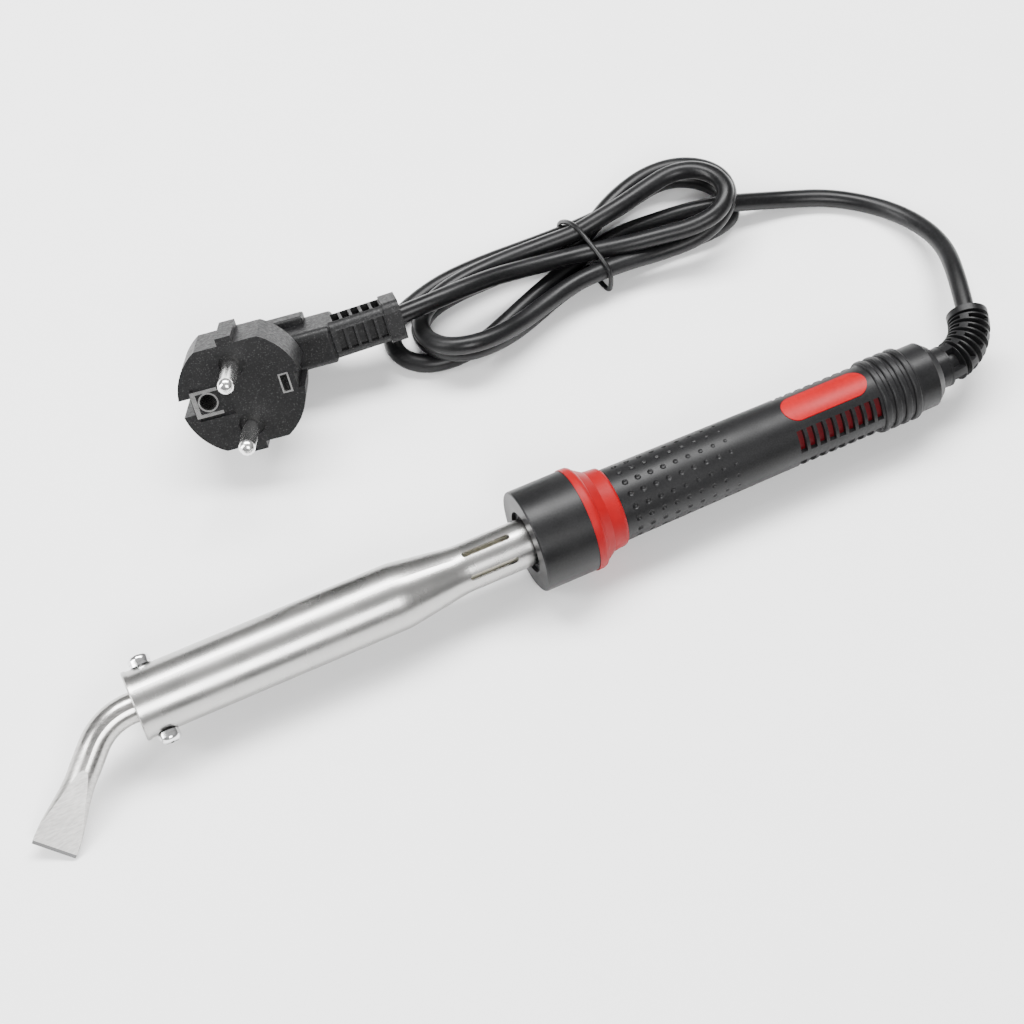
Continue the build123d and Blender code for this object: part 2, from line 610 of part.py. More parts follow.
def strain_relief():
    arc, straight = relief_line()
    start = Plane(arc @ 0, z_dir=(1, 0, 0))
    sleeve = sweep(start * (Circle(RELIEF_OD / 2) - Circle(RELIEF_BORE / 2)), arc + straight)
    groove = Circle(RELIEF_OD) - Circle(RELIEF_OD / 2 - RELIEF_GROOVE_DEPTH)
    for i in range(RELIEF_GROOVES):
        share = (i + 0.6) / (RELIEF_GROOVES + 0.2)
        sleeve -= Plane(arc @ share, z_dir=arc % share) * extrude(groove, RELIEF_GROOVE_WIDTH / 2, both=True)
    return sleeve + tube(RELIEF_ROOT_OD, RELIEF_BORE, CAP_END_X - RELIEF_ROOT_LENGTH, CAP_END_X)


def cord_tail():
    """The cord's held end, from inside the handle to the strain relief's mouth."""
    arc, straight = relief_line()
    inside = Line((TAIL_START_X, 0, AXIS_HEIGHT), arc @ 0)
    section = Plane(inside @ 0, z_dir=(1, 0, 0)) * Circle(CORD_DIA / 2)
    return sweep(section, inside + arc + straight)


def terminal_block():
    body = Pos(BLOCK_X, 0, AXIS_HEIGHT) * Box(*BLOCK, align=(Align.MIN, Align.CENTER, Align.CENTER))
    for across in block_ways():
        body -= lying_bar(BLOCK_BORE, BLOCK_X, BLOCK_END_X, across)
        for screw_x in block_screw_places():
            hole = Cylinder(BLOCK_SCREW_DIA / 2 + SLIP_FIT, BLOCK[2], align=(Align.CENTER, Align.CENTER, Align.MIN))
            body -= Pos(screw_x, across, AXIS_HEIGHT) * hole
    return body


def block_ways():
    return [BLOCK_PITCH * (i - (BLOCK_WAYS - 1) / 2) for i in range(BLOCK_WAYS)]


def block_screw_places():
    return [BLOCK_X + BLOCK_SCREW_INSET, BLOCK_END_X - BLOCK_SCREW_INSET]


def block_screws():
    screws = []
    bottom = AXIS_HEIGHT + BLOCK_BORE / 2
    for across in block_ways():
        for screw_x in block_screw_places():
            screw = Cylinder(BLOCK_SCREW_DIA / 2, BLOCK_SCREW_HEIGHT, align=(Align.CENTER, Align.CENTER, Align.MIN))
            screws.append(Pos(screw_x, across, bottom) * screw)
    return Compound(screws)


def cord_cores():
    """The cord's three cores, from its cut end to the block's rear bores."""
    cores = []
    for i, across in enumerate(block_ways()):
        lay = math.radians(210 - 120 * i)
        aside = CORE_WIRE_LAY * math.cos(lay)
        above = AXIS_HEIGHT + CORE_WIRE_LAY * math.sin(lay)
        start = (TAIL_START_X, aside, above)
        turn_out = (TAIL_START_X - CORE_WIRE_STRAIGHT, aside, above)
        turn_in = (BLOCK_END_X + CORE_WIRE_STRAIGHT, across, AXIS_HEIGHT)
        end = (BLOCK_END_X - WIRE_REACH, across, AXIS_HEIGHT)
        path = FilletPolyline(start, turn_out, turn_in, end, radius=CORE_WIRE_BEND)
        cores.append(sweep(Plane(path @ 0, z_dir=path % 0) * Circle(CORE_WIRE_DIA / 2), path))
    return cores


def plug_plane(height):
    origin = (*PLUG_PLACE, height)
    return Plane(origin, x_dir=PLUG_CORD_DIRECTION, z_dir=PLUG_PIN_DIRECTION)


def boot_plane():
    """In the plug's own frame, where the boot leaves the arm, looking along the cord."""
    tilt = math.radians(BOOT_TILT)
    return Plane((ARM_END, 0, -BOOT_DEPTH), x_dir=(0, 1, 0), z_dir=(math.cos(tilt), 0, -math.sin(tilt)))


def plug_boot():
    """Slotted sleeve where the cord enters the plug."""
    length = BOOT_LENGTH + BOOT_OVERLAP
    boot = extrude(RectangleRounded(BOOT_WIDTH, BOOT_WIDTH, BOOT_ROUNDING), length)
    collar = extrude(RectangleRounded(BOOT_COLLAR_WIDTH, BOOT_COLLAR_WIDTH, BOOT_ROUNDING), BOOT_COLLAR)
    boot += Pos(0, 0, length - BOOT_COLLAR) * collar
    opening = BOOT_WIDTH - 2 * BOOT_SPINE
    core = BOOT_WIDTH - 2 * BOOT_SLOT_DEPTH
    slot = Rectangle(opening, 2 * BOOT_WIDTH) + Rectangle(2 * BOOT_WIDTH, opening) - Rectangle(core, core)
    pitch = (BOOT_LENGTH - BOOT_COLLAR) / BOOT_SLOTS
    for i in range(BOOT_SLOTS):
        boot -= Pos(0, 0, BOOT_OVERLAP + pitch * (i + 0.5)) * extrude(slot, BOOT_SLOT_WIDTH / 2, both=True)
    return boot_plane().offset(-BOOT_OVERLAP) * boot


def plug_arm():
    """Block behind the face that turns the cord away, with a rib on its side."""
    near = (Align.MIN, Align.CENTER, Align.MIN)
    arm = Pos(0, 0, -ARM_BACK) * Box(ARM_END, ARM_WIDTH, ARM_BACK - ARM_FRONT, align=near)
    arm = fillet(arm.edges().filter_by(Axis.X), ARM_ROUNDING)
    arm = fillet(arm.edges().group_by(Axis.X)[-1], ARM_ROUNDING / 2)
    rib = Pos(RIB[0], ARM_WIDTH / 2 - ARM_ROUNDING, -ARM_BACK + ARM_ROUNDING) * Box(
        RIB[1] - RIB[0], RIB_PROUD + ARM_ROUNDING, ARM_BACK - ARM_ROUNDING - RIB_FRONT,
        align=(Align.MIN, Align.MIN, Align.MIN)
    )
    return arm + fillet(rib.edges().group_by(Axis.Y)[-1], RIB_PROUD / 3)


def plug_body():
    """In the plug's own frame: the face at Z 0, pins up, cord towards +X, pins in line on Y."""
    up = (Align.CENTER, Align.CENTER, Align.MAX)
    rim = PLUG_FACE_DIA / 2
    outline = Circle(rim) & Rectangle(PLUG_FACE_DIA, 2 * PLUG_FLAT)
    for side, depth in zip((-1, 1), SIDE_NOTCHES):
        outline -= Pos(side * rim, 0) * Rectangle(2 * depth, SIDE_NOTCH_WIDTH)
    body = extrude(outline, -PLUG_RIM_DEPTH)
    body += loft([
        Pos(0, 0, -PLUG_RIM_DEPTH) * Circle(HEEL_TOP_DIA / 2),
        Pos(0, 0, -HEEL_MIDDLE_DEPTH) * Circle(HEEL_MIDDLE_DIA / 2),
        Pos(0, 0, -ARM_BACK) * Circle(HEEL_END_DIA / 2),
    ])
    lugs = Box(LUG_WIDTH, 2 * (PLUG_FLAT + LUG_PROUD), LUG_DEPTH, align=up)
    body += lugs + plug_arm() + plug_boot()
    for side in (-1, 1):
        body -= Pos(0, side * PIN_SPACING / 2) * Cylinder(PIN_RECESS_DIA / 2, PIN_RECESS_DEPTH, align=up)
    body -= Pos(-EARTH_RECESS_MIDDLE, 0) * Box(*EARTH_RECESS, EARTH_RECESS_DEPTH, align=up)
    body -= Pos(CLIP_FRAME_MIDDLE, 0) * Box(*CLIP_FRAME, CLIP_DEPTH, align=up)
    for piece in (plug_pins(), earth_socket(), earth_clips(), pin_carrier()):
        body -= piece
    hole = Pos(-EARTH_HOLE_OFFSET, 0, 0) * Cylinder(EARTH_HOLE_DIA / 2, EARTH_HOLE_DEPTH, align=up)
    return body - hole


def plug_pins():
    pins = []
    stand = (Align.CENTER, Align.CENTER, Align.MIN)
    for side in (-1, 1):
        pin = Pos(0, 0, -PIN_RECESS_DEPTH) * Cylinder(PIN_DIA / 2, PIN_LENGTH + PIN_RECESS_DEPTH, align=stand)
        pin = fillet(pin.edges().group_by(Axis.Z)[-1], PIN_DIA * PIN_DOME)
        pin += Pos(0, 0, -PIN_ROOT) * Cylinder(PIN_ROOT_DIA / 2, PIN_ROOT, align=stand)
        pins.append(Pos(0, side * PIN_SPACING / 2, 0) * pin)
    return Compound(pins)


def earth_socket():
    """Metal tube that lines the earth hole, from the floor of its recess."""
    ring = Circle(EARTH_HOLE_DIA / 2 + EARTH_SOCKET_WALL) - Circle(EARTH_HOLE_DIA / 2)
    length = EARTH_HOLE_DEPTH - EARTH_RECESS_DEPTH / 2
    return Pos(-EARTH_HOLE_OFFSET, 0, -EARTH_HOLE_DEPTH) * extrude(ring, length)


def earth_clips():
    """Bent strip round the earth hole, and the frame of the sprung contact across from it."""
    length, width = EARTH_BRACKET
    gap = Pos(EARTH_BRACKET_WEB, 0) * Rectangle(length, width - 2 * EARTH_BRACKET_WALL)
    bracket = extrude(Rectangle(length, width) - gap, -CLIP_DEPTH)
    opening = Rectangle(CLIP_FRAME[0] - 2 * CLIP_FRAME_WALL, CLIP_FRAME[1] - 2 * CLIP_FRAME_WALL)
    frame = extrude(Rectangle(*CLIP_FRAME) - opening, -CLIP_DEPTH)
    return Compound([Pos(length / 2 - EARTH_BRACKET_EDGE, 0) * bracket, Pos(CLIP_FRAME_MIDDLE, 0) * frame])


def pin_carrier():
    """Hard insert inside the moulding that holds the pins' roots."""
    return Pos(0, 0, -CARRIER_DEPTH - CARRIER[2] / 2) * Box(*CARRIER) - plug_pins()


def rounded_run(points):
    """Straight runs joined by tangent arcs as large as the runs allow; also gives the radii."""
    corners = [Vector(*p) for p in points]
    radii = []
    for before, corner, after in zip(corners, corners[1:], corners[2:]):
        run_in = corner - before
        run_out = after - corner
        half_turn = math.radians(run_in.get_angle(run_out)) / 2
        radii.append(CORNER_SHARE * min(run_in.length, run_out.length) / math.tan(half_turn))
    return FilletPolyline(*corners, radius=radii), radii


def cord_run(name, points):
    path, radii = rounded_run(points)
    solid = sweep(Plane(path @ 0, z_dir=path % 0) * Circle(CORD_DIA / 2), path)
    expected = math.pi / 4 * CORD_DIA ** 2 * path.length
    print(name, "length", round(path.length, 1), "radii", [round(r, 1) for r in radii])
    print(name, "volume over section times length", round(solid.volume / expected, 4))
    return solid


def tie_plane():
    turn = math.radians(TIE_TURN)
    normal = (math.cos(turn), math.sin(turn), 0)
    return Plane((*TIE_PLACE, 0), x_dir=(-normal[1], normal[0], 0), z_dir=normal)


def tie_opening():
    """What the tie holds, as a face on the tie's plane."""
    height = TIE_TOP - TIE_GROUND_GAP - 2 * TIE_DIA
    middle = (TIE_TOP + TIE_GROUND_GAP) / 2
    return Pos(0, middle) * RectangleRounded(TIE_WIDTH, height, TIE_ROUNDING)


def cord_tie():
    """Band round the hank's middle, just clear of the bench."""
    band = offset(tie_opening(), TIE_DIA) - tie_opening()
    return tie_plane() * extrude(band, TIE_DIA / 2, both=True)


def cord_hank():
    """Outer shape of the folded cord, with the tie's band let into it."""
    edge = Spline(*[(x, y, 0) for x, y in HANK_OUTLINE], periodic=True)
    body = extrude(make_face(edge), max(z for x, z in HANK_TOP), dir=(0, 0, 1))
    side = Polyline((HANK_TOP[0][0], 0), *HANK_TOP, (HANK_TOP[-1][0], 0), close=True)
    body &= extrude(Plane.XZ * make_face(side), -2 * HANK_TOP[-1][0])
    outside = Rectangle(2 * TIE_WIDTH, 4 * TIE_TOP) - tie_opening()
    return body - tie_plane() * extrude(outside, TIE_DIA / 2, both=True)


def build():
    nodes = {
        "tip": tip(),
        "barrel": barrel(),
        "nose_bush": nose_bush(),
        "core_tube": tube(CORE_OD, CORE_ID, CORE_START_X, CORE_END_X),
        "mica_lining": tube(LINING_OD, CORE_OD, CORE_START_X, CORE_END_X),
        "heater_winding": winding(),
        "mica_wrap": tube(WRAP_ID + 2 * WRAP_THICKNESS, WRAP_ID, CORE_START_X, CORE_END_X),
        "ceramic_bush": ceramic_bush(),
        "heater_leads": heater_leads(),
        "lead_sleeves": lead_sleeves(),
        "earth_lead": earth_lead(),
        "mounting_plate": mounting_plate(),
        "plate_screws": plate_screws(),
        "front_collar": front_collar(),
        "handle_core": handle_core(),
        "handle_grip": grip(),
        "label_plate": label_plate(SLIP_FIT),
        "rear_cap": rear_cap(),
        "cord_clamp": clamp_bar(),
        "clamp_bar_screws": clamp_screws(),
        "strain_relief": strain_relief(),
        "cord_tail": cord_tail(),
        "terminal_block": terminal_block(),
        "terminal_screws": block_screws(),
    }
    for name, turn in zip(("upper", "lower"), SCREW_TURNS):
        nodes[name + "_clamp_screw"] = clamp_screw(turn)
        nodes[name + "_spring_washer"] = spring_washer(turn)
    for name, core in zip(("live", "earth", "neutral"), cord_cores()):
        nodes[name + "_core"] = core

    iron = Compound([piece for piece in nodes.values()]).bounding_box()
    shift = Pos(-(iron.min.X + iron.max.X) / 2, -(iron.min.Y + iron.max.Y) / 2, -iron.min.Z)

    frame = plug_plane(0)
    lowest = (frame * plug_body()).bounding_box().min.Z
    frame = plug_plane(-lowest)
    nodes["plug_body"] = frame * plug_body()
    nodes["pin_carrier"] = frame * pin_carrier()
    nodes["plug_pins"] = frame * plug_pins()
    nodes["earth_socket"] = frame * earth_socket()
    nodes["earth_clips"] = frame * earth_clips()

    relief_end = relief_line()[1] @ 1
    boot_end = frame.from_local_coords(boot_plane().from_local_coords(Vector(0, 0, BOOT_LENGTH)))
    print("plug's height", -lowest, "boot's end", boot_end)
    nodes["cord_lead"] = cord_run("cord_lead", [tuple(relief_end), *FREE_ROUTE])
    nodes["cord_plug_run"] = cord_run("cord_plug_run", [*PLUG_ROUTE, tuple(boot_end)])
    nodes["cord_tie"] = cord_tie()
    nodes["cord_hank"] = cord_hank()
    return nodes, shift


os.makedirs("parts", exist_ok=True)
pieces, to_origin = build()
print("shift", to_origin.position)
for node, shape in pieces.items():
    export_step(to_origin * shape, "parts/" + node + ".step")
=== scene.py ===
import math

import bmesh
import bpy
from mathutils import Matrix, Vector


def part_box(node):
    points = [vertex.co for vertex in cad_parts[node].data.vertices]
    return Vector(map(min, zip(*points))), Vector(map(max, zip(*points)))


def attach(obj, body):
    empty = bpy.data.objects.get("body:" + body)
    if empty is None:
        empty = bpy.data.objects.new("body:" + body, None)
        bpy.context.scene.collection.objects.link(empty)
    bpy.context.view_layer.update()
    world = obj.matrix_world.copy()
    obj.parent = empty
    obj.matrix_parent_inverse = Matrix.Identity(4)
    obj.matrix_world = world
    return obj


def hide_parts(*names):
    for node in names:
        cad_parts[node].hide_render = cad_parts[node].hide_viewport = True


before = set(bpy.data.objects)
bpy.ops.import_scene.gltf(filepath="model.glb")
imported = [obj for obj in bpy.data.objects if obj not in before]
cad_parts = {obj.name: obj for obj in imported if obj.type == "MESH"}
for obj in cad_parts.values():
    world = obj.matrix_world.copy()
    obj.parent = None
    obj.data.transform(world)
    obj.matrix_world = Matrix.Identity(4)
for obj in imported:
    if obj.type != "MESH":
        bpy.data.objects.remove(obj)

bl_info = {
    "name": "Soldering Iron",
    "version": (1, 0, 0),
    "blender": (4, 5, 0),
    "location": "View3D > Sidebar > Iron",
    "description": "Mains soldering iron with a bent chisel tip, a dimpled grip and a folded cord",
    "category": "Add Mesh",
}

# Places. Lengths are in metres. The iron's axis frame starts at the collar's front face, on the bench.
COLLAR_LOW, COLLAR_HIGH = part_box("front_collar")
AXIS_START = Vector((COLLAR_LOW.x, (COLLAR_LOW.y + COLLAR_HIGH.y) / 2, 0.0))
AXIS_HEIGHT = (COLLAR_LOW.z + COLLAR_HIGH.z) / 2
ROOT = "iron"

CORD_EXIT = (0.151789, 0.012736, 0.01525)
CORD_FREE = [
    (0.1567, 0.0260, 0.0150), (0.1619, 0.0410, 0.0102), (0.1608, 0.0550, 0.0056),
    (0.1544, 0.0666, 0.0030), (0.1426, 0.0760, 0.0028), (0.1290, 0.0808, 0.0036),
    (0.1155, 0.0834, 0.0068),
]
CORD_HANK = [
    # in from the right and along to the first loop at the left
    (0.1095, 0.0842, 0.0084), (0.0990, 0.0888, 0.0052), (0.0880, 0.0912, 0.0028),
    (0.0765, 0.0916, 0.0028), (0.0645, 0.0882, 0.0043), (0.0540, 0.0852, 0.0043),
    (0.0424, 0.0818, 0.0028), (0.0305, 0.0768, 0.0028), (0.0210, 0.0732, 0.0028),
    (0.0115, 0.0716, 0.0028), (0.0025, 0.0730, 0.0028), (-0.0036, 0.0785, 0.0028),
    (-0.0040, 0.0865, 0.0028), (0.0020, 0.0930, 0.0028), (0.0110, 0.0966, 0.0028),
    (0.0210, 0.0990, 0.0028),
    # back along the far side, round the first loop at the right
    (0.0349, 0.0996, 0.0028), (0.0480, 0.0989, 0.0032), (0.0605, 0.0981, 0.0043),
    (0.0705, 0.0989, 0.0038), (0.0800, 0.1004, 0.0028), (0.0895, 0.1030, 0.0028),
    (0.0985, 0.1044, 0.0028), (0.1070, 0.1012, 0.0028), (0.1125, 0.0950, 0.0028),
    (0.1140, 0.0880, 0.0028), (0.1110, 0.0820, 0.0028), (0.1030, 0.0802, 0.0028),
    (0.0920, 0.0804, 0.0028), (0.0800, 0.0812, 0.0028), (0.0690, 0.0812, 0.0038),
    (0.0600, 0.0808, 0.0040), (0.0500, 0.0794, 0.0028), (0.0400, 0.0755, 0.0028),
    # second loop at the left
    (0.0300, 0.0714, 0.0044), (0.0210, 0.0686, 0.0074), (0.0130, 0.0688, 0.0084),
    (0.0068, 0.0735, 0.0072), (0.0044, 0.0805, 0.0048), (0.0060, 0.0870, 0.0030),
    (0.0120, 0.0914, 0.0028), (0.0220, 0.0932, 0.0028), (0.0360, 0.0936, 0.0028),
    (0.0500, 0.0932, 0.0032), (0.0615, 0.0926, 0.0043), (0.0685, 0.0952, 0.0066),
    (0.0760, 0.0993, 0.0082), (0.0845, 0.1026, 0.0088),
    # second loop at the right
    (0.0930, 0.1042, 0.0094), (0.1015, 0.1028, 0.0104), (0.1085, 0.0978, 0.0118),
    (0.1115, 0.0900, 0.0134), (0.1095, 0.0825, 0.0140), (0.1040, 0.0774, 0.0126),
    (0.0955, 0.0754, 0.0100), (0.0840, 0.0764, 0.0084), (0.0730, 0.0776, 0.0086),
    (0.0625, 0.0776, 0.0092), (0.0535, 0.0772, 0.0088), (0.0435, 0.0747, 0.0084),
    # third loop at the left
    (0.0335, 0.0710, 0.0096), (0.0240, 0.0678, 0.0124), (0.0145, 0.0672, 0.0140),
    (0.0070, 0.0710, 0.0126), (0.0038, 0.0785, 0.0098), (0.0058, 0.0858, 0.0084),
    (0.0130, 0.0908, 0.0084), (0.0240, 0.0936, 0.0084), (0.0376, 0.0944, 0.0084),
    (0.0510, 0.0939, 0.0090), (0.0620, 0.0929, 0.0102), (0.0700, 0.0930, 0.0128),
    (0.0790, 0.0941, 0.0142),
    # third loop at the right and back under the tie
    (0.0880, 0.0960, 0.0150), (0.0965, 0.0972, 0.0160), (0.1035, 0.0942, 0.0176),
    (0.1076, 0.0880, 0.0190), (0.1074, 0.0810, 0.0196), (0.1020, 0.0758, 0.0186),
    (0.0935, 0.0758, 0.0160), (0.0830, 0.0786, 0.0140), (0.0730, 0.0809, 0.0126),
    (0.0625, 0.0850, 0.0099),
]
CORD_TO_PLUG = [
    (0.0500, 0.0864, 0.0106), (0.0400, 0.0867, 0.0122), (0.0300, 0.0862, 0.0146),
    (0.0198, 0.0846, 0.0172), (0.0095, 0.0833, 0.0186), (-0.000926, 0.083687, 0.017666),
]

# The tie round the hank, across and up in its own plane
TIE_PLACE = (0.0625, 0.0879)
TIE_TURN = math.radians(8.2)
TIE_LOOP = [
    (-0.0135, 0.0012), (-0.0060, 0.0009), (0.0060, 0.0009), (0.0135, 0.0012),
    (0.0142, 0.0048), (0.0120, 0.0086), (0.0078, 0.0126), (0.0030, 0.0140),
    (-0.0030, 0.0137), (-0.0085, 0.0131), (-0.0136, 0.0118), (-0.0144, 0.0060),
]

# The strain relief: its centre line bends once, and its rings repeat along it
RELIEF_START_X = 0.1356
RELIEF_RADIUS = 0.0165             # of the bend
RELIEF_ANGLE = math.radians(70.0)
RELIEF_TAIL = 0.002                # straight, after the bend
RELIEF_OUTER = 0.0062              # radius of the rings
RELIEF_FLOOR = 0.0037              # radius in a groove or window
RELIEF_BORE = 0.00285
RELIEF_UNITS = 4
RELIEF_UNIT = 0.0038
RELIEF_COLLAR = 0.0030             # length of the end collar
RELIEF_GROOVE = (0.0, 0.0012)      # in each unit, cut all round
RELIEF_LAST_GROOVE = 0.0009        # width of the one before the collar
RELIEF_WINDOWS = (0.0019, 0.0031)  # in each unit, cut between the bridges
RELIEF_MOUTH = (0.0006, 0.0036)    # the windows next to the cap
RELIEF_WALL = 0.00012              # half the slope of a cut's wall
RELIEF_BRIDGES = 4
RELIEF_BRIDGE = math.radians(26.0)
RELIEF_STEPS = 8                   # between two bridges
RELIEF_TURN = math.radians(24.0)   # of the first bridge from the top

# The tip's bend, and the side that it bends to, round the axis from the near side
TIP_BEND = math.radians(47.0)
TIP_TURN = math.radians(-28.5)
TIP_EDGE = 0.0009                # length of the dark edge
TIP_BLADE_END = (0.0196, 0.0222)  # behind the tip's end, where the ground blade meets the rod

# The grip's dimpled front, and how nearly round a face is to be shaded as round
GRIP_FRONT_RADIUS = 0.0107
GRIP_ROUND_FROM = 0.992

# Where the red core runs in under the grip, behind the collar's face; from here back its colour carries painted
# shade
CORE_SHADED_FROM = 0.05

# Colours that go with the settings' own
LIT_BLACK = (0.008, 0.008, 0.0085)
# painted shade: the red core's colour where the grip shades it
SHADED_RED = (0.07, 0.002, 0.004)
# painted glints: lighter points in the plug's colour where its grain catches the light
PLUG_PAINTED_GLINTS = (0.03, 0.03, 0.03)

MERGE = 1e-6

# The stage: each lamp's name, place, size and power
LAMPS = (
    ("overhead", (0.15, 0.45, 0.95), (1.1, 0.35), 34.0),
    ("left_window", (-0.9, 0.15, 0.5), (0.3, 0.9), 15.0),
    ("front_fill", (-0.1, -0.9, 0.9), (0.5, 0.5), 16.0),
)
LAMPS_TARGET = (0.02, 0.03, 0.0)
SKY_STOPS = ((0.08, 0.42), (0.9, 1.0))  # height and grey
SKY_STRENGTH = 0.55
FLOOR_REACH = 4.0
CAMERA_LENS = 73.83    # with the sensor in millimetres
CAMERA_SENSOR = 36.0
CAMERA_NEAR = 0.01
CAMERA_PLACE = (-0.1229, -0.2489, 0.5334)
CAMERA_RIGHT = (0.9026, -0.4305, 0.0)
CAMERA_UP = (0.3765, 0.7894, 0.4848)
CAMERA_BACK = (-0.2087, -0.4376, 0.8746)


def at(place):
    """A point of the axis frame, in the model's frame."""
    return AXIS_START + Vector(place)


def plain_mesh(piece, name):
    """The evaluated shape of a temporary object as a plain mesh object; the temporary one goes."""
    bpy.context.view_layer.update()
    depsgraph = bpy.context.evaluated_depsgraph_get()
    mesh = bpy.data.meshes.new_from_object(piece.evaluated_get(depsgraph), depsgraph=depsgraph)
    mesh.name = name
    bpy.data.objects.remove(piece)
    return new_object(name, mesh)


def new_object(name, data):
    """An object linked to the scene."""
    piece = bpy.data.objects.new(name, data)
    bpy.context.scene.collection.objects.link(piece)
    return piece


def merged_copy(node, name):
    """A copy of a CAD node's mesh with its loose triangles joined."""
    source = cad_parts[node]
    copy = new_object(name, source.data.copy())
    copy.data.materials.clear()
    work = bmesh.new()
    work.from_mesh(copy.data)
    bmesh.ops.remove_doubles(work, verts=work.verts, dist=MERGE)
    work.to_mesh(copy.data)
    work.free()
    return copy


def smooth(piece, angle):
    """Smooth shading, sharp where faces meet at more than the angle in degrees."""
    mesh = piece.data
    mesh.polygons.foreach_set("use_smooth", [True] * len(mesh.polygons))
    mesh.set_sharp_from_angle(angle=math.radians(angle))


def dress(piece, material):
    """Give a new piece its material."""
    piece.data.materials.clear()
    piece.data.materials.append(material)


def dress_node(node, material):
    """Give a CAD node its material."""
    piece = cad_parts[node]
    for slot in piece.material_slots:
        slot.material = material
    if not piece.material_slots:
        piece.data.materials.append(material)


def tint(colour, share):
    """A colour made lighter or darker."""
    return tuple(c * share for c in colour)


class Finish:
    """A material in the making, with its shader and the Object coordinates."""

    def __init__(self, name, colour, roughness, metallic=0.0, specular=0.5):
        self.material = bpy.data.materials.new(name)
        self.material.use_nodes = True
        self.tree = self.material.node_tree
        self.shader = self.tree.nodes["Principled BSDF"]
        self.shader.inputs["Base Color"].default_value = (*colour, 1.0)
        self.shader.inputs["Roughness"].default_value = roughness
        self.shader.inputs["Metallic"].default_value = metallic
        self.shader.inputs["Specular IOR Level"].default_value = specular
        self.coordinates = self.node("ShaderNodeTexCoord").outputs["Object"]

    def node(self, kind, **values):
        made = self.tree.nodes.new(kind)
        for name, value in values.items():
            if name in made.inputs:
                made.inputs[name].default_value = value
            else:
                setattr(made, name, value)
        return made

    def link(self, out, into):
        self.tree.links.new(out, into)

    def noise(self, scale, detail=3.0, stretch=(1.0, 1.0, 1.0)):
        mapping = self.node("ShaderNodeMapping", Scale=stretch)
        self.link(self.coordinates, mapping.inputs["Vector"])
        texture = self.node("ShaderNodeTexNoise", Scale=scale, Detail=detail)
        self.link(mapping.outputs["Vector"], texture.inputs["Vector"])
        return texture.outputs["Fac"]

    def math(self, operation, first, second=None, third=None):
        made = self.node("ShaderNodeMath", operation=operation)
        for index, value in enumerate((first, second, third)):
            if value is None:
                continue
            if isinstance(value, (int, float)):
                made.inputs[index].default_value = value
            else:
                self.link(value, made.inputs[index])
        return made.outputs[0]

    def ramp(self, factor, stops):
        made = self.node("ShaderNodeValToRGB")
        elements = made.color_ramp.elements
        elements[0].position, elements[0].color = stops[0][0], (*stops[0][1], 1.0)
        elements[1].position, elements[1].color = stops[-1][0], (*stops[-1][1], 1.0)
        for position, colour in stops[1:-1]:
            elements.new(position).color = (*colour, 1.0)
        self.link(factor, made.inputs["Fac"])
        return made.outputs["Color"]

    def range(self, factor, low, high, from_low=0.3, from_high=0.7):
        made = self.node("ShaderNodeMapRange")
        made.inputs["From Min"].default_value = from_low
        made.inputs["From Max"].default_value = from_high
        made.inputs["To Min"].default_value = low
        made.inputs["To Max"].default_value = high
        self.link(factor, made.inputs["Value"])
        return made.outputs["Result"]

    def colour_between(self, factor, first, second, low=0.35, high=0.65):
        self.link(self.ramp(factor, [(low, first), (high, second)]), self.shader.inputs["Base Color"])

    def roughness_between(self, factor, low, high):
        self.link(self.range(factor, low, high), self.shader.inputs["Roughness"])

    def bump(self, heights):
        """Relief from (height, depth in metres) pairs, one Bump after the other."""
        normal = None
        for height, depth in heights:
            made = self.node("ShaderNodeBump", Strength=1.0, Distance=depth)
            self.link(height, made.inputs["Height"])
            if normal is not None:
                self.link(normal, made.inputs["Normal"])
            normal = made.outputs["Normal"]
        self.link(normal, self.shader.inputs["Normal"])

    def mix_colour(self, factor, first, second):
        made = self.node("ShaderNodeMix", data_type="RGBA")
        for index, value in ((0, factor), (6, first), (7, second)):
            if isinstance(value, tuple):
                made.inputs[index].default_value = (*value, 1.0)
            else:
                self.link(value, made.inputs[index])
        return made.outputs[2]


def brushed(name, colour, dark, roughness, stretch, depth=2e-6):
    """Metal with fine scratches that run where the stretch is small."""
    made = Finish(name, colour, roughness[0], metallic=1.0)
    lines = made.noise(1.0, 4.0, stretch)
    clouds = made.noise(90.0, 2.0)
    made.colour_between(lines, dark, colour, 0.3, 0.6)
    made.roughness_between(clouds, *roughness)
    made.bump([(lines, depth)])
    return made.material


def moulded(name, colour, light, roughness, grain=2200.0, depth=1.2e-5, waves=0.0, specular=0.22):
    """Plastic or rubber with a fine moulded grain."""
    made = Finish(name, colour, roughness[0], specular=specular)
    fine = made.noise(grain, 2.0)
    clouds = made.noise(60.0, 3.0)
    made.colour_between(made.math("MULTIPLY_ADD", fine, 0.6, made.math("MULTIPLY", clouds, 0.4)), colour, light)
    made.roughness_between(clouds, *roughness)
    heights = [(fine, depth)]
    if waves:
        heights.append((made.noise(220.0, 2.0), waves))
    made.bump(heights)
    return made.material


def glint_speckled(name, colour, painted_glints):
    """Spark-eroded black plastic: coarse grain, and painted glints as lighter points in its colour where the
    grain catches the light.
    """
    made = Finish(name, colour, 0.5, specular=0.25)
    grain = made.noise(2400.0, 2.0)
    coarse = made.noise(1100.0, 3.0)
    # painted glints: the grain's lighter points in the base colour stand for light caught by the grain
    points = made.ramp(grain, [(0.52, colour), (0.6, tint(colour, 2)), (0.7, painted_glints)])
    made.link(points, made.shader.inputs["Base Color"])
    made.roughness_between(coarse, 0.38, 0.6)
    made.bump([(grain, 2.5e-5), (coarse, 3e-5)])
    return made.material


